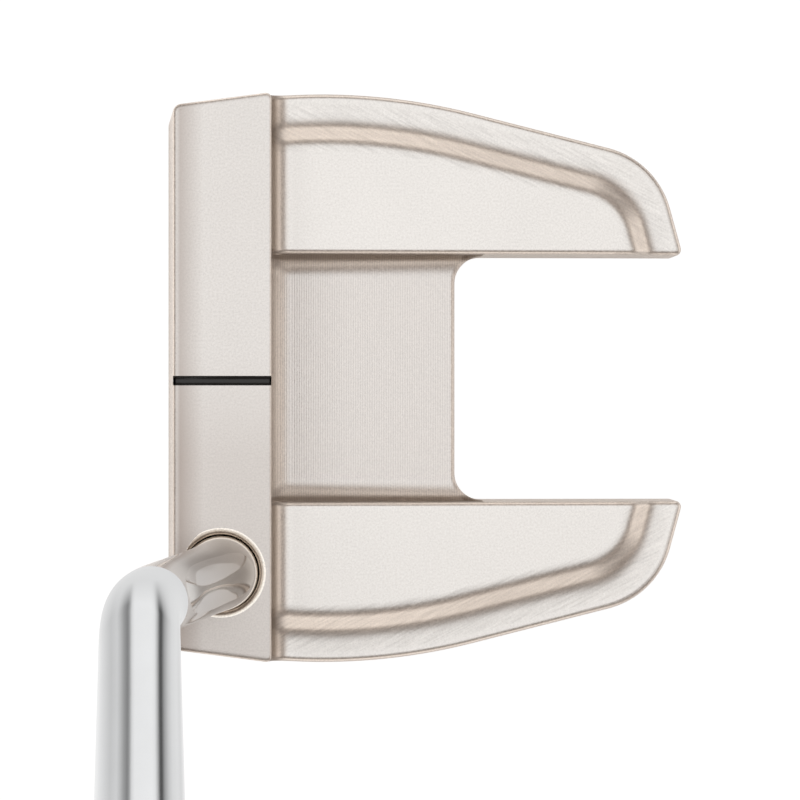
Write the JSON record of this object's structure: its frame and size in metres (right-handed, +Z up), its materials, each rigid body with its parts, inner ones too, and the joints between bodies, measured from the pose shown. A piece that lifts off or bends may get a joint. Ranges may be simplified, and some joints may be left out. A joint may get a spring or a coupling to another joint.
{
  "type": "mallet putter",
  "caption": "Putter with a milled fang-shaped mallet head, a bent chrome steel shaft and a pistol grip.",
  "frame": {"origin": "on the ground at the middle of the sole under the head's web", "axes": "+X from the face to the back of the head, +Y to the toe, +Z up; the shaft leans to the heel"},
  "size_m": [0.0886, 0.363, 0.8147],
  "materials": {
    "satin_steel": "satin milled, warm nickel tone",
    "sight_paint": "gloss black paint fill",
    "weight_steel": "turned steel",
    "seal_rubber": "matt black",
    "shaft_chrome": "polished chrome plate",
    "epoxy": "cured dark epoxy",
    "tape": "crepe paper tape",
    "grip_rubber": "matt moulded rubber",
    "cap_plastic": "hard satin rubber"
  },
  "bodies": {
    "root": {"head_body": "satin_steel", "sight_line_paint": "sight_paint", "toe_sole_weight": "weight_steel", "heel_sole_weight": "weight_steel", "toe_weight_seal": "seal_rubber", "heel_weight_seal": "seal_rubber", "shaft": "shaft_chrome", "shaft_bond": "epoxy", "grip_tape": "tape", "grip_body": "grip_rubber", "grip_cap": "cap_plastic"}
  },
  "joints": []
}
